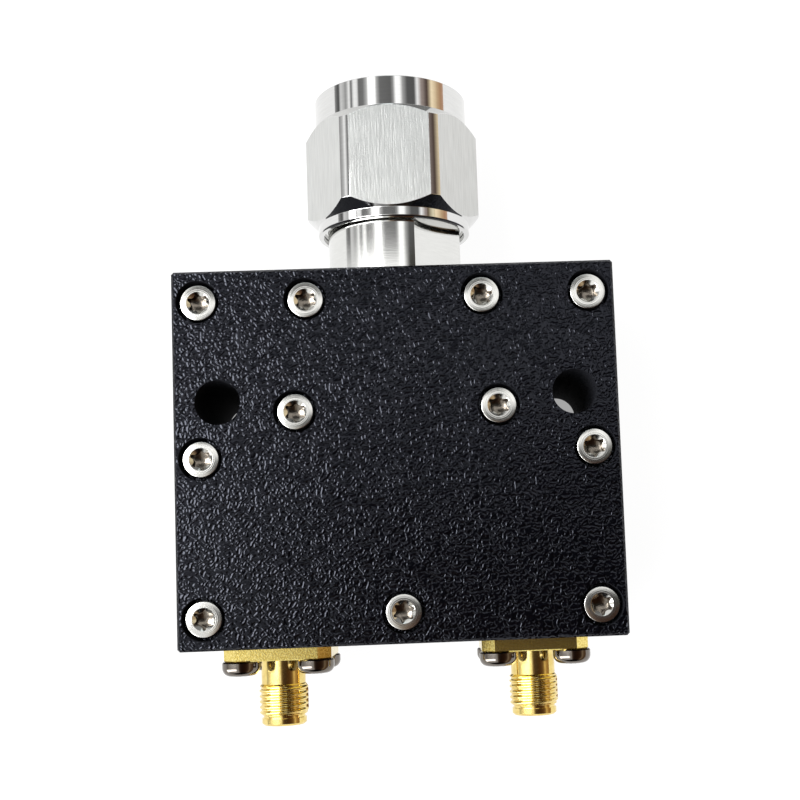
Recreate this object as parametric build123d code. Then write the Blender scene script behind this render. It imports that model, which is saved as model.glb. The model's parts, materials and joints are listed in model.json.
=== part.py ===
from build123d import *

import os
from math import asin, cos, degrees, radians, sin

# Two-way coaxial power splitter: an N plug in at the top, two SMA jacks out at the bottom, and a
# microstrip divider in a milled aluminium box with a screwed cover.
# Millimetres. +X is right and +Y points to the N plug, both seen from the cover side; +Z points out
# of the cover. The origin is the centre of the back face.

# Box
box_x = 55.0
box_y = 46.8
box_z = 25.0
cover_t = 5.0
box_edge = 0.3
axis_drop = 7.5  # from the cover's underside down to all three connector axes

# Cover screws, M2.5 with a six-lobe socket
screw_r = 1.25
screw_len = 8.0
head_r = 2.25
head_h = 2.5
head_edge = 0.12
head_sink = 0.5  # from the cover's face down to the head
socket_r = 1.37
socket_waist_r = 0.99
socket_lobe = 9.0  # half the angle of a lobe's tip, in degrees
socket_depth = 1.3
socket_mouth_r = 1.42  # countersink that cuts the lands between the lobes
socket_mouth_h = 0.34
socket_cone_r = 0.9  # drill point at the socket's bottom
socket_cone_h = 0.4
head_gap = 0.43  # between a head and its counterbore, on the radius
side_rim = 0.52  # cover metal between a counterbore and the side face
end_rim = 1.17  # cover metal between a counterbore and the top or bottom face
edge_screw_y = 0.0
top_screw_x = 11.0
inner_screw_x = 12.6
inner_screw_y = 5.54

# Through holes that fix the box to a panel
mount_hole_r = 2.8
mount_side_wall = 2.63
mount_hole_y = 6.92

# Cavity milled into the housing
land = 1.65  # metal left round a tapped hole
top_wall = 6.0
cutter_r = 2.0

# Divider board
board_t = 0.8
copper_t = 0.07
line_w = 2.2
arm_w = 1.2
ring_r = 6.5
arm_gap = 3.0  # between the middles of the two arm ends
output_drop = 2.8  # arm end to the middle of the outward run
output_rise = 3.13  # cavity's lower wall to the middle of the outward run
bend_r = 1.3
line_end_gap = 0.3  # copper to the cavity wall
chip_x = 3.2
chip_y = 1.6
chip_t = 0.6
board_screw_r = 1.0
board_screw_len = 4.0
board_head_r = 1.9
board_head_h = 1.2
board_screw_inset = 2.8
channel_screw_drop = 5.4  # from the channel's end
low_screw_gap = 1.2  # ring to the screw head beside it
low_screw_rise = 5.5  # from the middle of the outward run

# N plug, measured along its axis from the housing's face
spigot_r = 6.0
spigot_end_gap = 0.1  # spigot's end to the cavity
neck_r = 8.85
wrench_flat = 15.0
wrench_gap = 0.25  # wrench flats to the snap ring
wrench_turn = 50.7  # direction of one flat, from +Z towards +X, in degrees
collar_step = 0.35  # collar past the neck, on the radius
collar_len = 4.6
hub_step = 1.45  # collar past the hub
hub_len = 0.8
gasket_step = 0.55  # hub past the gasket
gasket_t = 1.5
gasket_seat_step = 0.3  # gasket's seat past the sleeve, on the radius
sleeve_r = 4.0
sleeve_wall = 0.5
sleeve_reach = 9.1  # sleeve tip past the gasket
slot_w = 0.5
slot_len = 5.5
slot_count = 4
snap_ring_w = 0.75
snap_ring_t = 0.85
snap_ring_gap = 24.0  # angle of its opening, in degrees
nut_start = 7.1
nut_wall = 0.61  # metal between the snap ring's groove and a flat
nut_corner = 1.22  # corners past the flats
nut_front_step = 0.12  # flats past the front ring
nut_rear_step = 0.17  # flats past the rear ring
nut_front_ring = 3.85
nut_rear_ring = 1.25
nut_edge = 0.15
nut_lip = 0.55
nut_lip_hold = 0.2  # how far the lip covers the snap ring, on the radius
nut_relief_len = 2.8
nut_thread_r = 7.35  # crests of the 5/8-24 thread
nut_thread_len = 9.3
nut_mouth = 0.6
bead_start = 1.6
bead_len = 9.0
feed_bore_r = 2.13
pin_air_r = 1.52
pin_bead_r = 1.045
pin_tip_r = 0.8
pin_shoulder = 5.33  # behind the sleeve's tip
pin_tip_len = 4.6

# SMA jacks, measured along their axes from the housing's face
corner_wall = 0.7  # between a flange screw and the corner cover screw
flange_t = 1.8
flange_corner = 1.6
flange_screw_pitch = 9.46
flange_margin = 2.07  # flange screw axis to the flange's edge
flange_screw_len = 6.0
flange_head_r = 2.38
flange_head_h = 1.95
jack_bore_r = 2.3
jack_bore_len = 1.9
jack_bore_step = 0.25  # bore past the insulator, on the radius
jack_wall = 0.4  # metal between the bore and the groove
jack_groove_depth = 0.475  # below the crests of the 1/4-36 thread
jack_groove = 0.35
jack_lip_step = 0.27  # thread past the lip, on the radius
jack_lip_len = 0.95
jack_rim = 0.25
jack_lead = 0.3  # thread's chamfered ends, down to the neck
jack_neck_len = 5.1
jack_thread_len = 4.0
contact_r = 0.635
contact_hole_r = 0.47
contact_hole_len = 3.2
contact_slot_w = 0.18
contact_slot_len = 2.2
tail_len = 2.4  # contact on the board, past the cavity wall
tail_flat = 0.4  # axis to the underside that lies on the copper

# Pan heads, as shares of the head's radius or height
pan_side = 0.45
pan_crown_r = 0.85
pan_crown_h = 0.8
pan_top_r = 0.5
cross_arm = 1.1
cross_w = 0.24  # share of the arm
cross_depth = 0.6

# Clearances, all radial or one-sided
thread_gap = 0.03
pass_gap = 0.2
slip_gap = 0.02
wall_bore_gap = 0.05
running_gap = 0.06
axial_gap = 0.1
float_gap = 0.3
board_gap = 0.15
tap_runout = 1.0

housing_z = box_z - cover_t
axis_z = housing_z - axis_drop
face_y = box_y / 2
counterbore_r = head_r + head_gap
screw_x = box_x / 2 - side_rim - counterbore_r
screw_y = box_y / 2 - end_rim - counterbore_r
mount_x = box_x / 2 - mount_side_wall - mount_hole_r
output_x = screw_x - 2 * screw_r - corner_wall - flange_screw_pitch / 2
seat_z = box_z - head_sink - head_h  # underside of the screw heads

copper_z = axis_z - tail_flat
board_top = copper_z - copper_t
floor_z = board_top - board_t
channel_half = top_screw_x - screw_r - land
channel_end = face_y - top_wall
chamber_half = screw_x - screw_r - land
chamber_top = inner_screw_y - screw_r - land
chamber_bottom = screw_r + land - screw_y

arm_turn = degrees(asin(arm_gap / 2 / ring_r))
run_y = chamber_bottom + output_rise
arm_end = run_y + output_drop
ring_y = arm_end + ring_r * cos(radians(arm_turn))

collar_r = neck_r + collar_step
hub_r = collar_r - hub_step
gasket_r = hub_r - gasket_step
gasket_seat_r = sleeve_r + gasket_seat_step
line_bore_r = sleeve_r - sleeve_wall
snap_ring_bore_r = neck_r + wall_bore_gap
snap_ring_r = snap_ring_bore_r + snap_ring_w
nut_groove_r = snap_ring_r + running_gap
nut_flat_r = nut_groove_r + nut_wall
nut_bar_r = nut_flat_r + nut_corner
nut_front_r = nut_flat_r - nut_front_step
nut_rear_r = nut_flat_r - nut_rear_step

snap_ring_start = nut_start + nut_lip + axial_gap
wrench_len = snap_ring_start - wrench_gap
collar_start = snap_ring_start + snap_ring_t
collar_end = collar_start + collar_len
hub_end = collar_end + hub_len
gasket_end = hub_end + gasket_t
sleeve_end = gasket_end + sleeve_reach
nut_thread_start = collar_end + float_gap + nut_relief_len
nut_end = nut_thread_start + nut_thread_len
feed_end = spigot_end_gap - top_wall
bead_end = bead_start + bead_len

flange_w = flange_screw_pitch + 2 * flange_margin
insulator_r = jack_bore_r - jack_bore_step
jack_groove_r = jack_bore_r + jack_wall
jack_thread_r = jack_groove_r + jack_groove_depth
jack_lip_r = jack_thread_r - jack_lip_step
jack_neck_r = jack_thread_r - jack_lead
jack_groove_start = jack_neck_len + jack_thread_len
jack_lip_start = jack_groove_start + jack_groove
jack_len = jack_lip_start + jack_lip_len

# Each cover screw's place, and how far its socket is turned, in degrees
cover_screw_places = [
    (-screw_x, screw_y, 39),
    (-top_screw_x, screw_y, 35),
    (top_screw_x, screw_y, 12),
    (screw_x, screw_y, 35),
    (-inner_screw_x, inner_screw_y, 30),
    (inner_screw_x, inner_screw_y, 30),
    (-screw_x, edge_screw_y, 38),
    (screw_x, edge_screw_y, 34),
    (-screw_x, -screw_y, 30),
    (0, -screw_y, 22),
    (screw_x, -screw_y, 35),
]
mount_places = [(-mount_x, mount_hole_y), (mount_x, mount_hole_y)]
board_screw_places = [
    (side * x, y)
    for side in (-1, 1)
    for x, y in (
        (channel_half - board_screw_inset, channel_end - channel_screw_drop),
        (chamber_half - board_screw_inset, chamber_top - board_screw_inset),
        (ring_r + arm_w / 2 + low_screw_gap + board_head_r, run_y + low_screw_rise),
    )
]
flange_screw_places = [
    (x * flange_screw_pitch / 2, y * flange_screw_pitch / 2) for x in (-1, 1) for y in (-1, 1)
]

# Local +Z runs out of the housing along each connector's axis.
n_place = Pos(0, face_y, axis_z) * Rot(X=-90)
jack_places = {
    "left": Pos(-output_x, -face_y, axis_z) * Rot(X=90),
    "right": Pos(output_x, -face_y, axis_z) * Rot(X=90),
}


def turned(*profile):
    """Solid of revolution about Z through (radius, height) points."""
    outline = Polyline(*[(radius, 0, height) for radius, height in profile], close=True)
    return revolve(make_face(outline), Axis.Z)


def rod(radius, low, high):
    """Round bar about Z between two heights."""
    return Pos(0, 0, low) * Cylinder(radius, high - low, align=(Align.CENTER, Align.CENTER, Align.MIN))


def tube(outer, inner, low, high):
    return rod(outer, low, high) - rod(inner, low, high)


def block(low, high):
    """Box between two corners."""
    size = [b - a for a, b in zip(low, high)]
    return Pos(*low) * Box(*size, align=(Align.MIN, Align.MIN, Align.MIN))


def box_shell(low, high, outer_edges):
    """Slab of the box between two heights, its upright edges and one face's edges broken."""
    slab = block((-box_x / 2, -box_y / 2, low), (box_x / 2, box_y / 2, high))
    edges = slab.edges().filter_by(Axis.Z) + slab.edges().group_by(Axis.Z)[outer_edges]
    return chamfer(edges, box_edge)


def cavity_outline():
    """Narrow channel behind the N plug that opens into the wide chamber of the two outputs."""
    length = channel_end - chamber_bottom
    channel = Pos(0, (channel_end + chamber_bottom) / 2) * Rectangle(2 * channel_half, length)
    height = chamber_top - chamber_bottom
    chamber = Pos(0, (chamber_top + chamber_bottom) / 2) * Rectangle(2 * chamber_half, height)
    both = channel + chamber
    return fillet(both.vertices(), cutter_r)


def housing():
    body = box_shell(0, housing_z, 0)
    body -= Pos(0, 0, floor_z) * extrude(cavity_outline(), housing_z - floor_z)
    tap_r = screw_r + thread_gap
    for x, y, _ in cover_screw_places:
        body -= Pos(x, y) * rod(tap_r, seat_z - screw_len - tap_runout, housing_z)
    for x, y in mount_places:
        body -= Pos(x, y) * rod(mount_hole_r, 0, housing_z)
    board_tap = board_screw_len - board_t + tap_runout
    for x, y in board_screw_places:
        body -= Pos(x, y) * rod(board_screw_r + thread_gap, floor_z - board_tap, floor_z)
    body -= n_place * rod(spigot_r + thread_gap, -top_wall, 0)
    wall = face_y + chamber_bottom
    flange_tap = flange_screw_len - flange_t + tap_runout / 2
    for place in jack_places.values():
        body -= place * rod(insulator_r + wall_bore_gap, -wall, 0)
        for x, y in flange_screw_places:
            body -= place * Pos(x, y) * rod(tap_r, -flange_tap, 0)
    return body


def cover():
    plate = box_shell(housing_z, box_z, -1)
    for x, y, _ in cover_screw_places:
        plate -= Pos(x, y) * rod(counterbore_r, seat_z, box_z)
        plate -= Pos(x, y) * rod(screw_r + pass_gap, housing_z, seat_z)
    for x, y in mount_places:
        plate -= Pos(x, y) * rod(mount_hole_r, housing_z, box_z)
    return plate


def polar(radius, angle):
    return (radius * cos(radians(angle)), radius * sin(radians(angle)))


def six_lobe_outline():
    """Socket outline: six short tips joined by six hollow flanks."""
    edges = []
    for middle in range(0, 360, 60):
        tip_end = polar(socket_r, middle + socket_lobe)
        next_tip = polar(socket_r, middle + 60 - socket_lobe)
        edges.append(Line(polar(socket_r, middle - socket_lobe), tip_end))
        edges.append(ThreePointArc(tip_end, polar(socket_waist_r, middle + 30), next_tip))
    return make_face(edges)


def socket_screw():
    """Cap screw that hangs down from its head's underside at Z = 0."""
    head = turned(
        (0, 0),
        (head_r, 0),
        (head_r, head_h - head_edge),
        (head_r - head_edge, head_h),
        (0, head_h),
    )
    bottom = head_h - socket_depth
    head -= Pos(0, 0, bottom) * extrude(six_lobe_outline(), socket_depth)
    head -= turned((0, bottom - socket_cone_h), (socket_cone_r, bottom), (0, bottom))
    mouth = head_h - socket_mouth_h
    head -= turned((0, mouth), (socket_waist_r, mouth), (socket_mouth_r, head_h), (0, head_h))
    return head + rod(screw_r, -screw_len, 0)


def pan_screw(radius, length, top_r, top_h):
    """Pan head screw with a cross recess, hanging down from its head's underside at Z = 0."""
    head = turned(
        (0, 0),
        (top_r, 0),
        (top_r, top_h * pan_side),
        (top_r * pan_crown_r, top_h * pan_crown_h),
        (top_r * pan_top_r, top_h),
        (0, top_h),
    )
    arm = top_r * cross_arm
    for size in ((arm, arm * cross_w), (arm * cross_w, arm)):
        head -= Pos(0, 0, top_h) * Box(*size, 2 * top_h * cross_depth)
    return head + rod(radius, -length, 0)


def cover_screws():
    screw = socket_screw()
    return [Pos(x, y, seat_z) * Rot(Z=turn) * screw for x, y, turn in cover_screw_places]


def divider_board():
    outline = offset(cavity_outline(), -board_gap)
    board = Pos(0, 0, floor_z) * extrude(outline, board_t)
    for x, y in board_screw_places:
        board -= Pos(x, y) * rod(board_screw_r + pass_gap, floor_z, board_top)
    return board


def trace_pattern():
    """Input line, two quarter-wave arms of a ring and the two output lines, in one etched piece."""
    copper = trace(Line((0, channel_end - line_end_gap), (0, ring_y + ring_r - arm_w / 2)), line_w)
    for side in (-1, 1):
        sweep = -side * (180 - arm_turn)
        copper += trace(CenterArc((0, ring_y), ring_r, 90, sweep), arm_w)
        output = FilletPolyline(
            (side * arm_gap / 2, arm_end + arm_w / 2),
            (side * arm_gap / 2, run_y),
            (side * output_x, run_y),
            (side * output_x, chamber_bottom + line_end_gap),
            radius=bend_r,
        )
        copper += trace(output, line_w)
    return Pos(0, 0, board_top) * extrude(copper, copper_t)


def isolation_resistor():
    low = (-chip_x / 2, arm_end - chip_y, copper_z)
    return block(low, (chip_x / 2, arm_end, copper_z + chip_t))


def board_screws():
    screw = pan_screw(board_screw_r, board_screw_len, board_head_r, board_head_h)
    return [Pos(x, y, board_top) * screw for x, y in board_screw_places]


def n_body():
    """Turned body: spigot, neck with wrench flats, collar, hub, gasket seat and slotted sleeve."""
    body = turned(
        (0, feed_end),
        (spigot_r, feed_end),
        (spigot_r, 0),
        (neck_r, 0),
        (neck_r, collar_start),
        (collar_r, collar_start),
        (collar_r, collar_end),
        (hub_r, collar_end),
        (hub_r, hub_end),
        (gasket_seat_r, hub_end),
        (gasket_seat_r, gasket_end),
        (sleeve_r, gasket_end),
        (sleeve_r, sleeve_end),
        (0, sleeve_end),
    )
    body -= rod(line_bore_r, bead_start, sleeve_end)
    body -= rod(feed_bore_r, feed_end, bead_start)
    slab = block((wrench_flat / 2, -neck_r, 0), (neck_r, neck_r, wrench_len))
    for turn in (0, 180):
        body -= Rot(Z=wrench_turn - 90 + turn) * slab
    for i in range(slot_count // 2):
        cut = Box(2 * sleeve_r, slot_w, 2 * slot_len)
        body -= Pos(0, 0, sleeve_end) * Rot(Z=45 + i * 360 / slot_count) * cut
    return n_place * body


def n_dielectric():
    bead = turned(
        (pin_bead_r + slip_gap, bead_start),
        (contact_r + slip_gap, bead_start),
        (contact_r + slip_gap, feed_end),
        (feed_bore_r - slip_gap, feed_end),
        (feed_bore_r - slip_gap, bead_start),
        (line_bore_r - slip_gap, bead_start),
        (line_bore_r - slip_gap, bead_end),
        (pin_bead_r + slip_gap, bead_end),
    )
    return n_place * bead


def n_center_pin():
    shoulder = sleeve_end - pin_shoulder
    tip = shoulder + pin_tip_len
    tail = -top_wall - tail_len
    pin = turned(
        (0, tail),
        (contact_r, tail),
        (contact_r, bead_start),
        (pin_bead_r, bead_start),
        (pin_bead_r, bead_end),
        (pin_air_r, bead_end),
        (pin_air_r, shoulder),
        (pin_tip_r, shoulder),
        (pin_tip_r, tip - pin_tip_r),
        (pin_tip_r / 2, tip),
        (0, tip),
    )
    pin = n_place * pin
    low = (-contact_r, channel_end - tail_len, axis_z - contact_r)
    return pin - block(low, (contact_r, channel_end, axis_z - tail_flat))


def n_gasket():
    return n_place * tube(gasket_r, gasket_seat_r + slip_gap, hub_end, gasket_end)


def n_snap_ring():
    ring = tube(snap_ring_r, snap_ring_bore_r, snap_ring_start, collar_start)
    half_gap = snap_ring_r * sin(radians(snap_ring_gap / 2))
    opening = block((0, -half_gap, snap_ring_start), (snap_ring_r, half_gap, collar_start))
    return n_place * (ring - Rot(Z=90) * opening)


def coupling_nut():
    """Nut milled from round bar: six flats between two turned rings, threaded inside."""
    rear_chamfer = nut_start + nut_rear_ring + nut_bar_r - nut_rear_r
    front_chamfer = nut_end - nut_front_ring - nut_bar_r + nut_front_r
    bar = turned(
        (0, nut_start),
        (nut_rear_r - nut_edge, nut_start),
        (nut_rear_r, nut_start + nut_edge),
        (nut_rear_r, nut_start + nut_rear_ring),
        (nut_bar_r, rear_chamfer),
        (nut_bar_r, front_chamfer),
        (nut_front_r, nut_end - nut_front_ring),
        (nut_front_r, nut_end - nut_edge),
        (nut_front_r - nut_edge, nut_end),
        (0, nut_end),
    )
    flats = RegularPolygon(nut_flat_r, 6, major_radius=False)
    nut = bar & Pos(0, 0, nut_start) * extrude(flats, nut_end - nut_start)
    nut -= rod(snap_ring_r - nut_lip_hold, nut_start, nut_start + nut_lip)
    nut -= rod(nut_groove_r, nut_start + nut_lip, collar_start + axial_gap)
    nut -= rod(collar_r + running_gap, collar_start + axial_gap, collar_end + float_gap)
    nut -= rod(hub_r + float_gap, collar_end + float_gap, nut_thread_start)
    nut -= rod(nut_thread_r, nut_thread_start, nut_end)
    mouth = turned(
        (0, nut_end - nut_mouth),
        (nut_thread_r, nut_end - nut_mouth),
        (nut_thread_r + nut_mouth, nut_end),
        (0, nut_end),
    )
    return n_place * (nut - mouth)


def sma_body(place):
    """Square flange and threaded barrel, turned and milled in one piece."""
    square = Rectangle(flange_w, flange_w)
    body = extrude(chamfer(square.vertices(), flange_corner), flange_t)
    body += turned(
        (0, 0),
        (jack_neck_r, 0),
        (jack_neck_r, jack_neck_len),
        (jack_thread_r, jack_neck_len + jack_lead),
        (jack_thread_r, jack_groove_start - jack_lead),
        (jack_groove_r, jack_groove_start),
        (jack_groove_r, jack_lip_start),
        (jack_lip_r, jack_lip_start),
        (jack_lip_r, jack_len - jack_rim),
        (jack_lip_r - jack_rim, jack_len),
        (0, jack_len),
    )
    body -= rod(insulator_r + slip_gap, 0, jack_len - jack_bore_len)
    body -= rod(jack_bore_r, jack_len - jack_bore_len, jack_len)
    for x, y in flange_screw_places:
        body -= Pos(x, y) * rod(screw_r + pass_gap, 0, flange_t)
    return place * body


def sma_insulator(place):
    wall = face_y + chamber_bottom
    return place * tube(insulator_r, contact_r + slip_gap, -wall, jack_len - jack_bore_len)


def sma_contact(place):
    """Socket contact, slotted at its mouth and flat underneath where it lies on the board."""
    wall = face_y + chamber_bottom
    mouth = jack_len - jack_bore_len
    contact = rod(contact_r, -wall - tail_len, mouth)
    contact -= rod(contact_hole_r, mouth - contact_hole_len, mouth)
    for turn in (0, 90):
        cut = Box(2 * contact_r, contact_slot_w, 2 * contact_slot_len)
        contact -= Pos(0, 0, mouth) * Rot(Z=turn) * cut
    under = block((-contact_r, -contact_r, -wall - tail_len), (contact_r, -tail_flat, -wall))
    return place * (contact - under)


def flange_screws(place):
    screw = pan_screw(screw_r, flange_screw_len, flange_head_r, flange_head_h)
    return [place * Pos(x, y, flange_t) * screw for x, y in flange_screw_places]


nodes = {
    "housing": housing(),
    "cover": cover(),
    "cover_screws": cover_screws(),
    "divider_board": divider_board(),
    "trace_pattern": trace_pattern(),
    "isolation_resistor": isolation_resistor(),
    "board_screws": board_screws(),
    "n_body": n_body(),
    "n_dielectric": n_dielectric(),
    "n_center_pin": n_center_pin(),
    "n_gasket": n_gasket(),
    "n_snap_ring": n_snap_ring(),
    "coupling_nut": coupling_nut(),
}
for side, place in jack_places.items():
    nodes[side + "_sma_body"] = sma_body(place)
    nodes[side + "_sma_insulator"] = sma_insulator(place)
    nodes[side + "_sma_contact"] = sma_contact(place)
    nodes[side + "_flange_screws"] = flange_screws(place)

os.makedirs("parts", exist_ok=True)
for name, shape in nodes.items():
    if isinstance(shape, list):
        shape = Compound(children=[solid for piece in shape for solid in piece.solids()])
    export_step(shape, f"parts/{name}.step")
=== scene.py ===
import json
import math

import bmesh
import bpy
from mathutils import Euler, Matrix, Vector


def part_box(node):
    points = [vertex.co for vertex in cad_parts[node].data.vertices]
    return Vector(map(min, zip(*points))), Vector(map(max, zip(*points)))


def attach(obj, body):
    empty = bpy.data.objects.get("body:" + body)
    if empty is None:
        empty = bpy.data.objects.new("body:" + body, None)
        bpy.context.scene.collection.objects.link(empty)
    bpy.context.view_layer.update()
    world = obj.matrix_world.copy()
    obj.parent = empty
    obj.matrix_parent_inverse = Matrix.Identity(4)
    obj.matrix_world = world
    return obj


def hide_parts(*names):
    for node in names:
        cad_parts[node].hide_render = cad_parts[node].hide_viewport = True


# Looks of a coaxial power splitter: black coated box, steel N plug and gold plated SMA jacks.
# The frame is in metres. Sizes and meshes below are in millimetres until they are placed.

MM = 0.001
WELD = 0.0004  # points closer than this are one point
TURNED = "turned_radius"  # vertex attribute: distance from the axis that a piece was turned on

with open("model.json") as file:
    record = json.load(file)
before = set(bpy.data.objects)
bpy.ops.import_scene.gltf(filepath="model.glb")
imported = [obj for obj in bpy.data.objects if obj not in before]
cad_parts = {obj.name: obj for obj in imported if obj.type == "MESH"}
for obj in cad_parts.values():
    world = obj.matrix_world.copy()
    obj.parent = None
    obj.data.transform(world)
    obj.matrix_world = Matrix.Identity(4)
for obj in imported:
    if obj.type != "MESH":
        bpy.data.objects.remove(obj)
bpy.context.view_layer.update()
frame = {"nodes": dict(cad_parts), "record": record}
record = frame["record"]
mounts = {mount["name"]: mount for mount in record["mounts"]}


def node_box(node):
    """Lowest and highest corners of a CAD node, in millimetres."""
    low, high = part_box(node)
    return Vector(low) / MM, Vector(high) / MM


# Axes and faces, from the frame
axis_z = mounts["input_sleeve"]["pos_m"][2] / MM
side_x = node_box("housing")[1].x
face_y = node_box("housing")[1].y
nut_low, nut_high = node_box("coupling_nut")
flange_low, flange_high = node_box("right_sma_body")
cover_top = node_box("cover")[1].z

# Local +Z runs out of the housing along each connector's axis.
N_PLACE = Matrix.Translation((0, 0, axis_z)) @ Matrix.Rotation(math.radians(-90), 4, "X")
JACK_PLACES = {
    side: Matrix.Translation((mounts[side + "_output_thread"]["pos_m"][0] / MM, -face_y, axis_z))
    @ Matrix.Rotation(math.radians(90), 4, "X")
    for side in ("left", "right")
}

# Coupling nut; heights are along Y
NUT_START = nut_low.y
NUT_END = nut_high.y
NUT_FLAT_R = (nut_high.z - nut_low.z) / 2
NUT_BAR_R = (nut_high.x - nut_low.x) / 2
NUT_FRONT_R = NUT_FLAT_R - 0.12
NUT_REAR_R = NUT_FLAT_R - 0.17
NUT_FRONT_RING = 3.85
NUT_REAR_RING = 1.25
NUT_EDGE = 0.15
NUT_BEVEL = 0.035
NUT_LIP_R = 9.45
NUT_LIP = 0.55
NUT_GROOVE_R = 9.71
NUT_GROOVE_END = 1.6
NUT_COLLAR_BORE_R = 9.26
NUT_COLLAR_END = 6.4
NUT_RELIEF_R = 8.05
NUT_THREAD_R = 7.35
NUT_THREAD_LEN = 9.3
NUT_THREAD_DEPTH = 0.59
NUT_PITCH = 25.4 / 24
NUT_MOUTH = 0.6

# SMA jacks; heights are from the housing's face
FLANGE_W = flange_high.x - flange_low.x
FLANGE_T = 1.8
FLANGE_CORNER = 1.6
FLANGE_EDGE = 0.12
FLANGE_PITCH = 9.46
FLANGE_HOLE_R = 1.45
JACK_LEN = flange_high.y - flange_low.y
JACK_NECK_R = 2.875
JACK_THREAD_START = 5.1
JACK_THREAD_R = 3.175
JACK_THREAD_LEN = 4.0
JACK_THREAD_DEPTH = 0.22
JACK_THREAD_STEPS = 20  # rings a pitch
JACK_RUNOUT = 0.02
JACK_PITCH = 25.4 / 36
JACK_LEAD = 0.3
JACK_GROOVE_START = 0.05
JACK_GROOVE = 0.35
JACK_GROOVE_R = 2.7
JACK_LIP_R = 2.905
JACK_LIP_EDGE = 0.04
JACK_RIM = 0.25
JACK_BORE_R = 2.3
JACK_BORE_LEN = 1.9
JACK_BORE_EDGE = 0.05
JACK_INNER_R = 2.07

# Flange screws
PAN_R = 2.38
PAN_FOOT_R = PAN_R - 0.15
PAN_FOOT_H = 0.18
PAN_SIDE = 0.75
PAN_SHOULDER_R = 1.4
PAN_SHOULDER_H = 1.82
PAN_CROWN_R = 0.6 * PAN_SHOULDER_R
PAN_CROWN_H = 1.91
PAN_H = 1.95
SCREW_R = 1.25
PAN_SCREW_LEN = 6.0
CROSS_TURNS = (20, 65, 8, 50)  # degrees

# Cover screws; each has its place and its socket's turn in degrees
HEAD_R = 2.25
HEAD_H = 2.5
HEAD_SINK = 0.5
HEAD_EDGE = 0.14
HEAD_FOOT = 0.1
SOCKET_DEPTH = 1.45
SOCKET_TIP_R = 0.224
SOCKET_TIP_AT = 1.146
SOCKET_FLANK_R = 0.585
SOCKET_FLANK_AT = 1.554
SOCKET_FLOOR_R = 0.9
SOCKET_MOUTH_R = 1.42
SOCKET_MOUTH_SLOPE = 0.79
SOCKET_CONE_H = 0.45
COVER_SCREW_LEN = 8.0
COVER_SCREWS = [
    (-24.3, 19.55, 39),
    (-11.0, 19.55, 35),
    (11.0, 19.55, 12),
    (24.3, 19.55, 35),
    (-12.6, 5.54, 30),
    (12.6, 5.54, 30),
    (-24.3, 0.0, 38),
    (24.3, 0.0, 34),
    (-24.3, -19.55, 30),
    (0.0, -19.55, 22),
    (24.3, -19.55, 35),
]

# Camera, fitted to the photograph
CAMERA_MM = (4.32, -15.58, 170.97)
CAMERA_TURN = (4.730, -1.5246, -2.1444)  # degrees about X, Y and Z
FOCAL_PX = 1191.9
CENTRE_PX = (470.0, 479.4)
FRAME_PX = 800
SENSOR_MM = 36.0


# Materials


def shader(name, metallic=0.0):
    """New node material: its tree, its Principled shader and a place in millimetres."""
    material = bpy.data.materials.new(name)
    material.use_nodes = True
    tree = material.node_tree
    surface = tree.nodes["Principled BSDF"]
    surface.inputs["Metallic"].default_value = metallic
    coords = tree.nodes.new("ShaderNodeTexCoord")
    scale = tree.nodes.new("ShaderNodeVectorMath")
    scale.operation = "SCALE"
    scale.inputs["Scale"].default_value = 1 / MM
    tree.links.new(coords.outputs["Object"], scale.inputs[0])
    return material, tree, surface, scale.outputs[0]


def stretched(tree, vector, factors):
    """The vector with each axis multiplied, so that a texture is longer along the small ones."""
    node = tree.nodes.new("ShaderNodeVectorMath")
    node.operation = "MULTIPLY"
    node.inputs[1].default_value = factors
    tree.links.new(vector, node.inputs[0])
    return node.outputs[0]


def noise(tree, vector, scale, detail, distortion=0.0):
    node = tree.nodes.new("ShaderNodeTexNoise")
    node.inputs["Scale"].default_value = scale
    node.inputs["Detail"].default_value = detail
    node.inputs["Distortion"].default_value = distortion
    tree.links.new(vector, node.inputs["Vector"])
    return node.outputs["Fac"]


def rings(tree, scale):
    """Concentric tool marks about the axis that a piece was turned on."""
    radius = tree.nodes.new("ShaderNodeAttribute")
    radius.attribute_name = TURNED
    node = tree.nodes.new("ShaderNodeTexNoise")
    node.noise_dimensions = "1D"
    node.inputs["Scale"].default_value = scale
    node.inputs["Detail"].default_value = 2.0
    tree.links.new(radius.outputs["Fac"], node.inputs["W"])
    return node.outputs["Fac"]


def ramp(tree, value, *stops):
    """Colour ramp through (position, colour) stops."""
    node = tree.nodes.new("ShaderNodeValToRGB")
    elements = node.color_ramp.elements
    while len(elements) < len(stops):
        elements.new(1.0)
    for element, (position, colour) in zip(elements, stops):
        element.position = position
        element.color = (*colour, 1)
    tree.links.new(value, node.inputs["Fac"])
    return node.outputs["Color"]


def mapped(tree, value, source, target, smooth=False):
    """Maps one range of a value to another, clamped."""
    node = tree.nodes.new("ShaderNodeMapRange")
    node.interpolation_type = "SMOOTHSTEP" if smooth else "LINEAR"
    node.inputs["From Min"].default_value = source[0]
    node.inputs["From Max"].default_value = source[1]
    node.inputs["To Min"].default_value = target[0]
    node.inputs["To Max"].default_value = target[1]
    tree.links.new(value, node.inputs["Value"])
    return node.outputs["Result"]


def maths(tree, operation, first, second=None):
    node = tree.nodes.new("ShaderNodeMath")
    node.operation = operation
    for socket, value in zip(node.inputs, (first, second)):
        if isinstance(value, (int, float)):
            socket.default_value = value
        elif value is not None:
            tree.links.new(value, socket)
    return node.outputs[0]


def separate(tree, vector):
    node = tree.nodes.new("ShaderNodeSeparateXYZ")
    tree.links.new(vector, node.inputs[0])
    return node.outputs


def bump(tree, surface, height, distance_mm):
    node = tree.nodes.new("ShaderNodeBump")
    node.inputs["Strength"].default_value = 1.0
    node.inputs["Distance"].default_value = distance_mm * MM
    tree.links.new(height, node.inputs["Height"])
    tree.links.new(node.outputs["Normal"], surface.inputs["Normal"])


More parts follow.
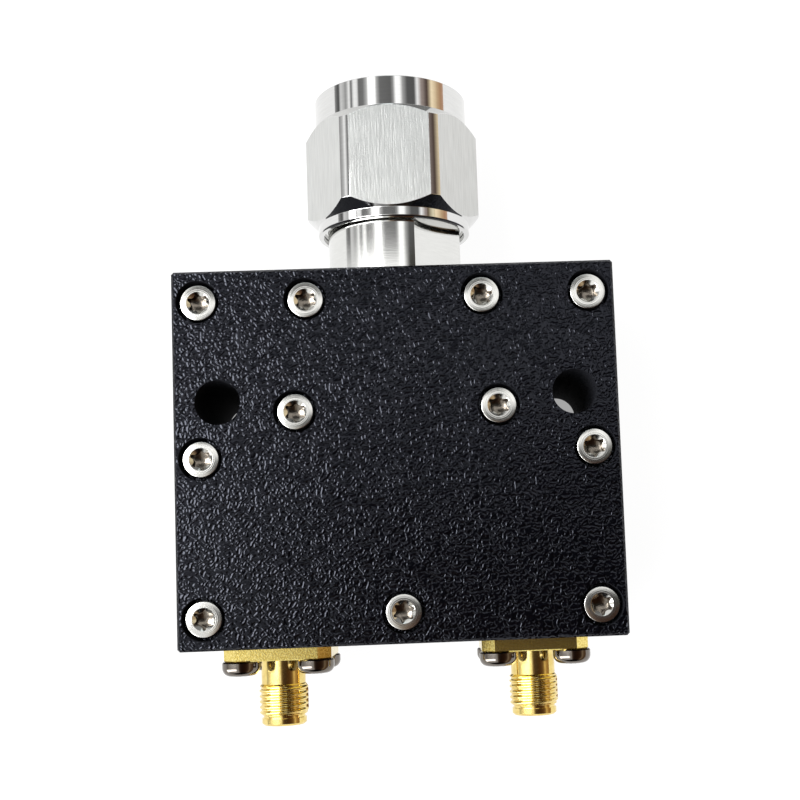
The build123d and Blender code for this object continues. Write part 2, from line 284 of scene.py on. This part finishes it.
def uneven(tree, value, roughness, spread):
    """Roughness that a texture raises and lowers by a share of itself."""
    return mapped(tree, value, (0.3, 0.7), ((1 - spread) * roughness, (1 + spread) * roughness))


def within_box(tree, place, margin):
    """1 where a place is inside the box's outline seen from above, and a margin away from it."""
    inside = 1
    for axis, reach in (("X", side_x), ("Y", face_y)):
        distance = maths(tree, "ABSOLUTE", separate(tree, place)[axis])
        inside = maths(tree, "MULTIPLY", inside, maths(tree, "LESS_THAN", distance, reach - margin))
    return inside


def finish(tree, surface, colour, roughness):
    tree.links.new(colour, surface.inputs["Base Color"])
    tree.links.new(roughness, surface.inputs["Roughness"])


def powder_coat():
    """Black coating with fine wavy folds that glint; holes and counterbores are dull inside."""
    material, tree, surface, place = shader("powder_coat")
    waves, depth_mm = 15.0, 0.014
    gloss, dullness = 0.07, 1.0
    wall_margin = 0.3
    drift = noise(tree, place, 1.6, 0.2, 0.3)
    folds = maths(tree, "SINE", maths(tree, "MULTIPLY", drift, waves))
    bump(tree, surface, folds, depth_mm)
    colour = ramp(tree, drift, (0.3, (0.0003, 0.0003, 0.0006)), (0.7, (0.0008, 0.0008, 0.0016)))
    coords = tree.nodes["Texture Coordinate"]
    facing = separate(tree, coords.outputs["Normal"])["Z"]
    upright = maths(tree, "LESS_THAN", maths(tree, "ABSOLUTE", facing), 0.5)
    dull = maths(tree, "MULTIPLY", upright, within_box(tree, place, wall_margin))
    finish(tree, surface, colour, mapped(tree, dull, (0, 1), (gloss, dullness)))
    surface.inputs["Specular Tint"].default_value = (0.8, 0.84, 1.0, 1)
    surface.inputs["Specular IOR Level"].default_value = 0.27
    return material


def steel(name, grain, roughness, tone, depth_mm, shade=0.86):
    """Steel with fine marks; grain says how fast they change along each axis, shade how dark they get."""
    material, tree, surface, place = shader(name, metallic=1.0)
    marks = noise(tree, stretched(tree, place, grain), 1.0, 3.0)
    smears = noise(tree, place, 0.35, 3.0)
    low = tuple(shade * c for c in tone)
    colour = ramp(tree, marks, (0.3, low), (0.7, tone))
    finish(tree, surface, colour, uneven(tree, smears, roughness, 0.07))
    bump(tree, surface, marks, depth_mm)
    return material


def faced_steel(name, roughness, tone, depth_mm):
    """Steel turned on a lathe, with concentric marks on its face."""
    material, tree, surface, place = shader(name, metallic=1.0)
    marks = rings(tree, 9.0)
    smears = noise(tree, place, 0.5, 3.0)
    colour = ramp(tree, smears, (0.35, tuple(0.9 * c for c in tone)), (0.65, tone))
    finish(tree, surface, colour, uneven(tree, marks, roughness, 0.2))
    bump(tree, surface, marks, depth_mm)
    return material


def gold_plate(name, roughness, tone, deep, grain, depth_mm):
    """Plating that is deeper in colour and rougher where its marks are low."""
    material, tree, surface, place = shader(name, metallic=1.0)
    marks = noise(tree, place, grain, 4.0)
    colour = ramp(tree, marks, (0.35, deep), (0.65, tone))
    finish(tree, surface, colour, uneven(tree, marks, roughness, -0.25))
    bump(tree, surface, marks, depth_mm)
    return material


def plain_stuff(name, colours, scale, roughness, depth_mm):
    """Non-metal with a mottled colour and a slightly uneven surface."""
    material, tree, surface, place = shader(name)
    mottle = noise(tree, place, scale, 4.0)
    colour = ramp(tree, mottle, (0.35, colours[0]), (0.65, colours[1]))
    finish(tree, surface, colour, uneven(tree, mottle, roughness, 0.15))
    bump(tree, surface, mottle, depth_mm)
    return material


coat = powder_coat()
polished = steel("polished_steel", (0.4, 5.0, 0.4), 0.05, (0.72, 0.72, 0.71), 0.0002, 0.94)
brushed = steel("brushed_steel", (5.0, 0.3, 5.0), 0.32, (0.64, 0.645, 0.63), 0.025, 0.84)
neck_steel = steel("neck_steel", (0.6, 6.0, 0.6), 0.08, (0.74, 0.74, 0.72), 0.0006, 0.94)
# Socket walls and cone floor: the head's steel painted far darker than its own tone, as painted shade deep in
# the recess
socket_steel_painted_shade = steel("socket_steel_painted_shade", (4.0, 4.0, 2.0), 0.12, (0.17, 0.15, 0.125), 0.012)
bored_steel = steel("bored_steel", (0.6, 9.0, 0.6), 0.22, (0.6, 0.6, 0.58), 0.003)
screw_steel = faced_steel("screw_steel", 0.13, (0.64, 0.635, 0.605), 0.005)
plain_steel = steel("plain_screw_steel", (3.0, 3.0, 3.0), 0.3, (0.66, 0.65, 0.61), 0.003)
gold = gold_plate("gold_plate", 0.12, (0.86, 0.69, 0.27), (0.76, 0.57, 0.19), 1.1, 0.003)
milled_gold = gold_plate("milled_gold", 0.14, (0.9, 0.76, 0.29), (0.66, 0.49, 0.11), 4.5, 0.008)
dark = steel("dark_nickel", (2.0, 2.0, 2.0), 0.09, (0.19, 0.17, 0.15), 0.002)
white = plain_stuff("ptfe", ((0.8, 0.8, 0.77), (0.88, 0.88, 0.86)), 1.5, 0.45, 0.004)
laminate = plain_stuff("laminate", ((0.6, 0.55, 0.38), (0.7, 0.65, 0.48)), 3.0, 0.6, 0.01)
copper = gold_plate("copper_trace", 0.25, (0.9, 0.5, 0.3), (0.8, 0.42, 0.22), 1.1, 0.003)
chip = plain_stuff("chip", ((0.02, 0.02, 0.022), (0.04, 0.04, 0.045)), 2.0, 0.5, 0.01)
rubber = plain_stuff("seal_rubber", ((0.25, 0.03, 0.02), (0.33, 0.05, 0.03)), 2.5, 0.6, 0.01)

FINISHES = {
    "black_coat": coat,
    "screw_steel": plain_steel,
    "laminate": laminate,
    "copper": copper,
    "chip": chip,
    "connector_steel": neck_steel,
    "ptfe": white,
    "gold": gold,
    "seal_rubber": rubber,
    "spring_steel": polished,
    "dark_screw": dark,
}


def paint_nodes():
    """Gives every CAD node the material of its slot."""
    for part in record["subparts"]:
        materials = frame["nodes"][part["node"]].data.materials
        materials.clear()
        materials.append(FINISHES[part["material_slot"]])


# Meshes


def even_angles(count):
    return [2 * math.pi * i / count for i in range(count)]


class Shell:
    """Surface made of rings of points about local Z, each ring joined to the one before it."""

    def __init__(self, angles):
        self.bm = bmesh.new()
        self.radius_of = self.bm.verts.layers.float.new(TURNED)
        self.angles = angles
        self.first = None
        self.last = None

    def points(self, radius, height):
        """Ring of vertices; radius and height may be functions of the angle."""
        ring = []
        for angle in self.angles:
            r = radius(angle) if callable(radius) else radius
            z = height(angle) if callable(height) else height
            vertex = self.bm.verts.new((r * math.cos(angle), r * math.sin(angle), z))
            vertex[self.radius_of] = r
            ring.append(vertex)
        return ring

    def join(self, ring, material):
        count = len(ring)
        for i in range(count):
            j = (i + 1) % count
            face = self.bm.faces.new((self.last[i], self.last[j], ring[j], ring[i]))
            face.material_index = material(i) if callable(material) else material

    def ring(self, radius, height, material=0):
        """Adds a ring and joins it to the last one."""
        ring = self.points(radius, height)
        if self.last is None:
            self.first = ring
        else:
            self.join(ring, material)
        self.last = ring
        return ring

    def tip(self, height, material=0):
        """Closes the last ring with a point on the axis; more rings can still follow it."""
        point = self.bm.verts.new((0, 0, height))
        count = len(self.last)
        for i in range(count):
            face = self.bm.faces.new((self.last[i], self.last[(i + 1) % count], point))
            face.material_index = material

    def close(self, material):
        """Joins the last ring back to the first."""
        self.join(self.first, material)


def make_piece(name, bm, place, materials, body, replaced, sharp_angle=18, bevel=None):
    """Places a mesh in the frame, cleans it, marks its sharp edges and gives it its materials."""
    bmesh.ops.remove_doubles(bm, verts=bm.verts, dist=WELD)
    bmesh.ops.dissolve_degenerate(bm, edges=bm.edges, dist=WELD)
    bmesh.ops.recalc_face_normals(bm, faces=bm.faces)
    if bevel:
        width, chosen = bevel
        edges = [e for e in bm.edges if chosen(e) and e.calc_face_angle(0) > math.radians(sharp_angle)]
        bmesh.ops.bevel(bm, geom=edges, offset=width, segments=2, profile=0.5, affect="EDGES")
    for face in bm.faces:
        face.smooth = True
    for edge in bm.edges:
        edge.smooth = edge.calc_face_angle(0) < math.radians(sharp_angle)
    bm.transform(Matrix.Scale(MM, 4) @ place)
    mesh = bpy.data.meshes.new(name)
    bm.to_mesh(mesh)
    bm.free()
    piece = bpy.data.objects.new(name, mesh)
    bpy.context.scene.collection.objects.link(piece)
    for material in materials:
        mesh.materials.append(material)
    weighted = piece.modifiers.new("weighted", "WEIGHTED_NORMAL")
    weighted.keep_sharp = True
    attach(piece, body)
    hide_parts(replaced)
    return piece


def thread_height(turn):
    """Share of the thread's depth, from 0 at a root to 1 at a crest, at a place counted in pitches."""
    from_root = abs(2 * (turn % 1.0) - 1)
    root_share = 0.12
    flank_share = 0.76
    rise = min(max((from_root - root_share) / flank_share, 0.0), 1.0)
    return rise * rise * (3 - 2 * rise)


def thread_rings(shell, start, end, pitch, radius, material=0, steps=16):
    """Helical thread from start to end; radius is a function of height and thread depth share."""
    low, high = min(start, end), max(start, end)
    turns = (high - low) / pitch
    rows = range(math.ceil((turns + 1) * steps) + 1)
    if start > end:
        rows = reversed(rows)
    for row in rows:
        def height(angle, row=row):
            return min(max(low + (row / steps + angle / (2 * math.pi) - 1) * pitch, low), high)

        def reach(angle, height=height):
            z = height(angle)
            return radius(z, thread_height(z / pitch - angle / (2 * math.pi)))

        shell.ring(reach, height, material)


def coupling_nut():
    """Six brushed flats between two polished turned rings, with a thread inside."""
    half_flat = math.acos(NUT_FLAT_R / NUT_BAR_R)
    flat_steps = 14
    strip_steps = 4
    angles = []
    for flat in range(6):
        centre = math.radians(30 + 60 * flat)
        angles += [centre + half_flat * (2 * i / flat_steps - 1) for i in range(flat_steps)]
        strip = math.radians(60) - 2 * half_flat
        angles += [centre + half_flat + strip * i / strip_steps for i in range(strip_steps)]
    shell = Shell(angles)

    def outer(angle):
        from_flat = angle % math.radians(60) - math.radians(30)
        return min(NUT_FLAT_R / math.cos(from_flat), NUT_BAR_R)

    def side(column):
        return 1 if column % (flat_steps + strip_steps) < flat_steps else 0

    rear_ring_end = NUT_START + NUT_REAR_RING
    front_ring_start = NUT_END - NUT_FRONT_RING
    shell.ring(NUT_LIP_R, NUT_START)
    shell.ring(NUT_REAR_R - NUT_EDGE, NUT_START)
    shell.ring(NUT_REAR_R, NUT_START + NUT_EDGE)
    shell.ring(NUT_REAR_R, rear_ring_end)
    shell.ring(outer, lambda a: rear_ring_end + outer(a) - NUT_REAR_R)
    shell.ring(outer, lambda a: front_ring_start - outer(a) + NUT_FRONT_R, side)
    shell.ring(NUT_FRONT_R, front_ring_start)
    shell.ring(NUT_FRONT_R, NUT_END - NUT_EDGE)
    shell.ring(NUT_FRONT_R - NUT_EDGE, NUT_END)
    mouth_start = NUT_END - NUT_MOUTH

    def thread_radius(height, share):
        thread = NUT_THREAD_R + NUT_THREAD_DEPTH * (1 - share)
        return max(thread, NUT_THREAD_R + max(height - mouth_start, 0))

    inside = 2
    thread_rings(shell, NUT_END, NUT_END - NUT_THREAD_LEN, NUT_PITCH, thread_radius, inside)
    shell.ring(NUT_RELIEF_R, NUT_END - NUT_THREAD_LEN, inside)
    shell.ring(NUT_RELIEF_R, NUT_START + NUT_COLLAR_END, inside)
    shell.ring(NUT_COLLAR_BORE_R, NUT_START + NUT_COLLAR_END, inside)
    shell.ring(NUT_COLLAR_BORE_R, NUT_START + NUT_GROOVE_END, inside)
    shell.ring(NUT_GROOVE_R, NUT_START + NUT_GROOVE_END, inside)
    shell.ring(NUT_GROOVE_R, NUT_START + NUT_LIP, inside)
    shell.ring(NUT_LIP_R, NUT_START + NUT_LIP, inside)
    shell.close(inside)

    def on_outside(edge):
        return all(math.hypot(v.co.x, v.co.y) > NUT_REAR_R - 2 * NUT_EDGE for v in edge.verts)

    materials = [polished, brushed, bored_steel]
    make_piece(
        "nut_shell", shell.bm, N_PLACE, materials, "nut", "coupling_nut",
        bevel=(NUT_BEVEL, on_outside),
    )


def octagon(half_width, corner, height):
    """Square outline with cut corners."""
    points = []
    for quarter in range(4):
        turn = Matrix.Rotation(math.radians(90 * quarter), 4, "Z")
        points.append(turn @ Vector((half_width, corner - half_width, height)))
        points.append(turn @ Vector((half_width, half_width - corner, height)))
    return points


def sma_body(side):
    """Flange plate and threaded barrel in one closed mesh."""
    shell = Shell(even_angles(72))
    bm = shell.bm
    thread_end = JACK_THREAD_START + JACK_THREAD_LEN
    barrel_base = shell.ring(JACK_NECK_R, FLANGE_T)
    shell.ring(JACK_NECK_R, JACK_THREAD_START - JACK_RUNOUT)

    def thread_radius(height, share):
        thread = JACK_THREAD_R - JACK_THREAD_DEPTH * (1 - share)
        lead_in = JACK_THREAD_R - JACK_LEAD + height - JACK_THREAD_START
        lead_out = JACK_THREAD_R - JACK_LEAD + thread_end - height
        return min(thread, lead_in, lead_out)

    thread_rings(
        shell, JACK_THREAD_START, thread_end, JACK_PITCH, thread_radius, steps=JACK_THREAD_STEPS
    )
    shell.ring(JACK_GROOVE_R, thread_end + JACK_GROOVE_START)
    shell.ring(JACK_GROOVE_R, thread_end + JACK_GROOVE)
    shell.ring(JACK_LIP_R - JACK_LIP_EDGE, thread_end + JACK_GROOVE)
    shell.ring(JACK_LIP_R, thread_end + JACK_GROOVE + JACK_LIP_EDGE)
    shell.ring(JACK_LIP_R, JACK_LEN - JACK_RIM)
    shell.ring(JACK_LIP_R - JACK_RIM, JACK_LEN)
    shell.ring(JACK_BORE_R + JACK_BORE_EDGE, JACK_LEN)
    shell.ring(JACK_BORE_R, JACK_LEN - JACK_BORE_EDGE)
    shell.ring(JACK_BORE_R, JACK_LEN - JACK_BORE_LEN)
    shell.ring(JACK_INNER_R, JACK_LEN - JACK_BORE_LEN)
    bore_base = shell.ring(JACK_INNER_R, 0)

    def loop_edges(ring):
        pairs = [(ring[i - 1], ring[i]) for i in range(len(ring))]
        return [bm.edges.get(pair) or bm.edges.new(pair) for pair in pairs]

    def wall(low, high):
        for i in range(len(low)):
            bm.faces.new((low[i - 1], low[i], high[i], high[i - 1])).material_index = 1

    half = FLANGE_W / 2
    slim = FLANGE_CORNER - (2 - math.sqrt(2)) * FLANGE_EDGE
    levels = [
        (half - FLANGE_EDGE, slim, 0),
        (half, FLANGE_CORNER, FLANGE_EDGE),
        (half, FLANGE_CORNER, FLANGE_T - FLANGE_EDGE),
        (half - FLANGE_EDGE, slim, FLANGE_T),
    ]
    outlines = [[bm.verts.new(p) for p in octagon(*level)] for level in levels]
    for low, high in zip(outlines, outlines[1:]):
        wall(low, high)
    back_edges = loop_edges(outlines[0]) + loop_edges(bore_base)
    front_edges = loop_edges(outlines[-1]) + loop_edges(barrel_base)
    for x in (-1, 1):
        for y in (-1, 1):
            hole = []
            for height in (0, FLANGE_T):
                ring = []
                for angle in even_angles(32):
                    at = Vector((x * FLANGE_PITCH / 2, y * FLANGE_PITCH / 2, height))
                    at += FLANGE_HOLE_R * Vector((math.cos(angle), math.sin(angle), 0))
                    ring.append(bm.verts.new(at))
                hole.append(ring)
            wall(*hole)
            back_edges += loop_edges(hole[0])
            front_edges += loop_edges(hole[1])
    for edges in (back_edges, front_edges):
        filled = bmesh.ops.triangle_fill(bm, use_beauty=True, edges=edges, normal=(0, 0, 1))
        for face in filled["geom"]:
            if isinstance(face, bmesh.types.BMFace):
                face.material_index = 1
    make_piece(
        side + "_jack_shell", bm, JACK_PLACES[side], [gold, milled_gold], "splitter",
        side + "_sma_body", sharp_angle=30,
    )


def cross_recess(place):
    """Cross of two tapered blades that cuts a screw's recess."""
    bm = bmesh.new()
    arm, half_width, depth = 1.15, 0.27, 1.15
    clear = 0.3
    mouth_share, floor_share = 1.1, 0.45
    for turn in (0, 90):
        spin = Matrix.Rotation(math.radians(turn), 4, "Z")
        for level, share in ((PAN_H + clear, mouth_share), (PAN_H - depth, floor_share)):
            for x, y in ((-1, -1), (1, -1), (1, 1), (-1, 1)):
                bm.verts.new(place @ spin @ Vector((x * arm * share, y * half_width, level)))
    bm.verts.ensure_lookup_table()
    for base in (0, 8):
        v = bm.verts[base:base + 8]
        bm.faces.new(v[0:4])
        bm.faces.new(v[4:8])
        for i in range(4):
            j = (i + 1) % 4
            bm.faces.new((v[i], v[j], v[j + 4], v[i + 4]))
    return bm


def carved(bm, cutter):
    """The first mesh with the second taken out of it."""
    objects = []
    for source in (bm, cutter):
        bmesh.ops.recalc_face_normals(source, faces=source.faces)
        mesh = bpy.data.meshes.new("carving")
        source.to_mesh(mesh)
        source.free()
        objects.append(bpy.data.objects.new("carving", mesh))
        bpy.context.scene.collection.objects.link(objects[-1])
    solid, tool = objects
    cut = solid.modifiers.new("cut", "BOOLEAN")
    cut.operation = "DIFFERENCE"
    cut.solver = "EXACT"
    cut.use_self = True
    cut.object = tool
    result = bmesh.new()
    result.from_mesh(solid.evaluated_get(bpy.context.evaluated_depsgraph_get()).data)
    for leftover in objects:
        bpy.data.objects.remove(leftover)
    return result


def flange_screws(side):
    """Four dark pan head screws with a cross recess."""
    screws = bmesh.new()
    corners = [(x, y) for x in (-1, 1) for y in (-1, 1)]
    for (x, y), turn in zip(corners, CROSS_TURNS):
        shell = Shell(even_angles(48))
        shell.ring(SCREW_R, -PAN_SCREW_LEN)
        shell.tip(-PAN_SCREW_LEN)
        shell.ring(SCREW_R, 0)
        shell.ring(PAN_FOOT_R, 0)
        shell.ring(PAN_R, PAN_FOOT_H)
        steps = 10
        for step in range(steps + 1):
            angle = math.pi / 2 * step / steps
            radius = PAN_SHOULDER_R + (PAN_R - PAN_SHOULDER_R) * math.cos(angle)
            shell.ring(radius, PAN_SIDE + (PAN_SHOULDER_H - PAN_SIDE) * math.sin(angle))
        shell.ring(PAN_CROWN_R, PAN_CROWN_H)
        shell.tip(PAN_H)
        screw = carved(shell.bm, cross_recess(Matrix.Rotation(math.radians(turn), 4, "Z")))
        screw.transform(Matrix.Translation((x * FLANGE_PITCH / 2, y * FLANGE_PITCH / 2, FLANGE_T)))
        mesh = bpy.data.meshes.new("screw")
        screw.to_mesh(mesh)
        screws.from_mesh(mesh)
        bpy.data.meshes.remove(mesh)
        screw.free()
    make_piece(
        side + "_pan_heads", screws, JACK_PLACES[side], [dark], "splitter",
        side + "_flange_screws", sharp_angle=25,
    )


def socket_radius(angle):
    """Outline of a six-lobe socket: round tips joined by hollow flanks."""
    from_tip = (angle + math.pi / 6) % (math.pi / 3) - math.pi / 6
    from_flank = math.pi / 6 - abs(from_tip)
    radius = math.inf
    tip = SOCKET_TIP_R**2 - (SOCKET_TIP_AT * math.sin(from_tip)) ** 2
    if tip > 0:
        radius = SOCKET_TIP_AT * math.cos(from_tip) + math.sqrt(tip)
    flank = SOCKET_FLANK_R**2 - (SOCKET_FLANK_AT * math.sin(from_flank)) ** 2
    if flank > 0:
        radius = min(radius, SOCKET_FLANK_AT * math.cos(from_flank) - math.sqrt(flank))
    return radius


def cover_screws():
    """Cap screws sunk in the cover, joined in one mesh."""
    screws = bmesh.new()
    mesh = bpy.data.meshes.new("screw")
    seat = cover_top - HEAD_SINK - HEAD_H
    for x, y, turn in COVER_SCREWS:
        shell = Shell(even_angles(120))
        shell.ring(SCREW_R, -COVER_SCREW_LEN)
        shell.tip(-COVER_SCREW_LEN)
        shell.ring(SCREW_R, 0)
        shell.ring(HEAD_R - HEAD_FOOT, 0)
        shell.ring(HEAD_R, HEAD_FOOT)
        steps = 4
        for step in range(steps + 1):
            angle = math.pi / 2 * step / steps
            edge = HEAD_EDGE * (1 - math.cos(angle)), HEAD_EDGE * (1 - math.sin(angle))
            shell.ring(HEAD_R - edge[0], HEAD_H - edge[1])
        shell.ring(SOCKET_MOUTH_R, HEAD_H)
        shell.ring(socket_radius, lambda a: HEAD_H - SOCKET_MOUTH_SLOPE * (SOCKET_MOUTH_R - socket_radius(a)))
        # Socket walls and cone take material 1, the steel with painted shade
        shell.ring(socket_radius, HEAD_H - SOCKET_DEPTH, 1)
        shell.ring(SOCKET_FLOOR_R, HEAD_H - SOCKET_DEPTH, 1)
        shell.tip(HEAD_H - SOCKET_DEPTH - SOCKET_CONE_H, 1)
        turned = Matrix.Translation((x, y, seat)) @ Matrix.Rotation(math.radians(turn), 4, "Z")
        shell.bm.transform(turned)
        shell.bm.to_mesh(mesh)
        shell.bm.free()
        screws.from_mesh(mesh)
    bpy.data.meshes.remove(mesh)
    make_piece(
        "cap_screws", screws, Matrix.Identity(4), [screw_steel, socket_steel_painted_shade], "splitter",
        "cover_screws", sharp_angle=30,
    )


# Stage. The world's angles are in degrees: a turn is from overhead towards +X, a rise is towards +Y.

SKY_SPAN = 100  # how far a ramp of strips reaches to each side
NO_START = (-101, -100)  # edges of a window that is open on that side
NO_END = (100, 101)
ANY_TURN = (-201, -200, 200, 201)


def make_camera():
    """Camera at the photograph's place, with the photograph's centre of view."""
    data = bpy.data.cameras.new("camera")
    data.sensor_width = SENSOR_MM
    data.sensor_fit = "HORIZONTAL"
    data.lens = SENSOR_MM * FOCAL_PX / FRAME_PX
    data.shift_x = 0.5 - CENTRE_PX[0] / FRAME_PX
    data.shift_y = CENTRE_PX[1] / FRAME_PX - 0.5
    data.clip_start = 0.01
    camera = bpy.data.objects.new("camera", data)
    camera.location = Vector(CAMERA_MM) * MM
    camera.rotation_euler = Euler([math.radians(a) for a in CAMERA_TURN])
    bpy.context.scene.collection.objects.link(camera)
    bpy.context.scene.camera = camera


def sky_ramp(tree, turn, stops):
    """Strips of light and shade by the turn."""
    share = mapped(tree, turn, (-math.radians(SKY_SPAN), math.radians(SKY_SPAN)), (0, 1))
    return ramp(tree, share, *[(0.5 + degrees / (2 * SKY_SPAN), colour) for degrees, colour in stops])


def grey(value):
    return (value, value, value)


def mix_colours(tree, share, first, second):
    """The first colour where the share is 0 and the second where it is 1."""
    node = tree.nodes.new("ShaderNodeMix")
    node.data_type = "RGBA"
    colours = [socket for socket in node.inputs if socket.type == "RGBA"]
    for socket, value in zip(colours, (first, second)):
        if isinstance(value, tuple):
            socket.default_value = (*value, 1)
        else:
            tree.links.new(value, socket)
    tree.links.new(share, node.inputs[0])
    return next(socket for socket in node.outputs if socket.type == "RGBA")


def patch(tree, turn, rise, turns, rises):
    """Share of a window with soft edges: where it starts, is full, fades and ends."""
    share = 1
    for angle, (start, full, fade, end) in ((turn, turns), (rise, rises)):
        for edge in ((start, full), (end, fade)):
            step = mapped(tree, angle, [math.radians(degrees) for degrees in edge], (0, 1), True)
            share = maths(tree, "MULTIPLY", share, step)
    return share


def make_world():
    """Studio of soft strips and windows for the metal to mirror; to the camera it is a pale backdrop."""
    world = bpy.data.worlds.new("studio")
    bpy.context.scene.world = world
    world.use_nodes = True
    tree = world.node_tree
    axes = tree.nodes.new("ShaderNodeSeparateXYZ")
    tree.links.new(tree.nodes.new("ShaderNodeTexCoord").outputs["Generated"], axes.inputs[0])
    turn = maths(tree, "ARCTAN2", axes.outputs["X"], axes.outputs["Z"])
    rise = maths(tree, "ARCSINE", axes.outputs["Y"])
    # The nut mirrors the far strips, the neck and the cover the near ones, the jacks the low ones
    far_strips = [
        (-92, grey(0.5)), (-86, grey(0.19)), (-82, grey(0.09)), (-78, grey(0.85)),
        (-70, grey(0.4)), (-66, grey(0.6)), (-62.5, grey(1.2)), (-59, grey(0.27)),
        (-56, grey(0.27)), (-52.5, grey(1.2)), (-49, grey(1.1)), (-46, grey(0.2)),
        (-39, grey(0.23)), (-33, grey(0.65)), (-28, grey(2.6)), (-23, grey(2.4)),
        (-18, grey(0.6)), (-13, grey(0.2)), (3, grey(0.16)), (7, grey(0.4)),
        (11, grey(1.5)), (17, grey(1.4)), (21, grey(0.5)), (28, grey(0.13)),
        (39, grey(0.12)), (44, grey(1.2)), (49, (0.4, 0.33, 0.3)), (60, (0.09, 0.06, 0.05)),
        (70, (1.2, 1.0, 0.68)), (78, (0.7, 0.5, 0.3)), (85, (0.52, 0.3, 0.17)),
        (92, (0.68, 0.45, 0.33)),
    ]
    near_strips = [
        (-92, grey(0.9)), (-75, grey(1.0)), (-60, grey(1.4)), (-46, grey(1.7)),
        (-20, grey(1.6)), (-15, grey(1.25)), (-12, grey(1.05)), (-10, grey(1.0)),
        (-7, grey(0.5)), (-5, grey(0.2)), (-3, grey(0.08)), (2, grey(0.06)),
        (8, grey(0.08)), (16, (0.07, 0.07, 0.06)), (34, (0.04, 0.035, 0.025)),
        (45, (0.12, 0.09, 0.06)), (54, (0.2, 0.15, 0.1)), (62, (0.95, 0.85, 0.6)),
        (75, (0.85, 0.65, 0.4)), (86, (0.45, 0.3, 0.17)), (92, (0.55, 0.4, 0.25)),
    ]
    low_strips = [
        (-92, grey(0.75)), (-83, grey(0.55)), (-75, (0.8, 0.77, 0.7)), (-60, grey(1.1)),
        (-50, grey(1.3)), (-32, grey(1.6)), (-24, grey(1.3)), (-16, grey(1.0)),
        (-10, grey(1.15)), (-7, (0.85, 0.8, 0.72)), (-4, (0.3, 0.24, 0.18)),
        (0, (0.2, 0.13, 0.09)), (4, (0.07, 0.04, 0.03)), (16, (0.05, 0.025, 0.015)),
        (31, (0.07, 0.032, 0.015)), (42, (0.1, 0.05, 0.03)), (53, (0.2, 0.12, 0.07)),
        (64, (0.75, 0.58, 0.36)), (70, (0.4, 0.26, 0.14)), (83, (0.3, 0.17, 0.08)),
        (92, (0.3, 0.17, 0.08)),
    ]
    far = sky_ramp(tree, turn, far_strips)
    near = sky_ramp(tree, turn, near_strips)
    low = sky_ramp(tree, turn, low_strips)
    front = patch(tree, turn, rise, (-50, -25, 10, 25), (26, 33, *NO_END))
    aside = patch(tree, turn, rise, ANY_TURN, (33, 40, *NO_END))
    # Each window covers the ones before it; the last one is what the camera itself sees
    windows = [
        (patch(tree, turn, rise, (*NO_START, *NO_END), (*NO_START, -3.6, -2.4)), low),
        (patch(tree, turn, rise, (-36, -18, 14, 28), (3, 11, 30, 40)), grey(1.65)),
        (patch(tree, turn, rise, (-70, -58, -21, -14), (-3, 0, 12, 14.5)), grey(16.0)),
        (patch(tree, turn, rise, (*NO_START, -28, -15), (-36, -30, -15, -12)), grey(9.0)),
        (patch(tree, turn, rise, ANY_TURN, (14.5, 16.3, *NO_END)), far),
        (front, (1.3, 1.4, 1.42)),
        (maths(tree, "MULTIPLY", aside, maths(tree, "SUBTRACT", 1, front)), grey(0.3)),
        (patch(tree, turn, rise, (*NO_START, -40, -30), (33, 40, 70, 80)), grey(1.1)),
        (patch(tree, turn, rise, ANY_TURN, (*NO_START, -62, -50)), grey(0.01)),
        (tree.nodes.new("ShaderNodeLightPath").outputs["Is Camera Ray"], grey(1.05)),
    ]
    sky = near
    for share, colour in windows:
        sky = mix_colours(tree, share, sky, colour)
    tree.links.new(sky, tree.nodes["Background"].inputs["Color"])


def make_light(name, place, size, power):
    """Round lamp aimed at the origin, which mirrors don't show."""
    data = bpy.data.lights.new(name, "AREA")
    data.shape = "DISK"
    data.size = size
    data.energy = power
    light = bpy.data.objects.new(name, data)
    light.location = place
    light.rotation_euler = (-Vector(place)).to_track_quat("-Z", "Y").to_euler()
    light.visible_glossy = False
    bpy.context.scene.collection.objects.link(light)


def make_floor():
    """Pale paper that glows evenly, as on a light table, with a painted shadow where it glows less under the
    box.
    """
    mesh = bpy.data.meshes.new("floor")
    half = 3.0
    # shade is the share of the glow left in the painted shadow under the box; edge_mm is how far that shadow
    # reaches past the outline
    glow, shade, edge_mm = 0.95, 0.4, 1
    corners = [(-half, -half, 0), (half, -half, 0), (half, half, 0), (-half, half, 0)]
    mesh.from_pydata(corners, [], [(0, 1, 2, 3)])
    floor = bpy.data.objects.new("floor", mesh)
    bpy.context.scene.collection.objects.link(floor)
    paper = plain_stuff("floor_paper", (grey(0.08), grey(0.09)), 0.05, 0.9, 0.0)
    tree = paper.node_tree
    surface = tree.nodes["Principled BSDF"]
    # Painted shadow: the paper's glow drops to the shade share inside the box's outline
    painted_shadow_under_box = within_box(tree, tree.nodes["Vector Math"].outputs[0], edge_mm)
    glow_with_painted_shadow = mix_colours(tree, painted_shadow_under_box, grey(1.0), grey(shade))
    tree.links.new(glow_with_painted_shadow, surface.inputs["Emission Color"])
    surface.inputs["Emission Strength"].default_value = glow
    surface.inputs["Specular IOR Level"].default_value = 0.0
    mesh.materials.append(paper)


paint_nodes()
coupling_nut()
for jack in JACK_PLACES:
    sma_body(jack)
    flange_screws(jack)
cover_screws()
make_camera()
make_world()
make_light("key", place=(-0.35, 0.3, 0.6), size=0.5, power=0.9)
make_light("fill", place=(0.4, -0.3, 0.7), size=0.6, power=0.8)
make_floor()
bpy.context.scene.view_settings.view_transform = "Standard"
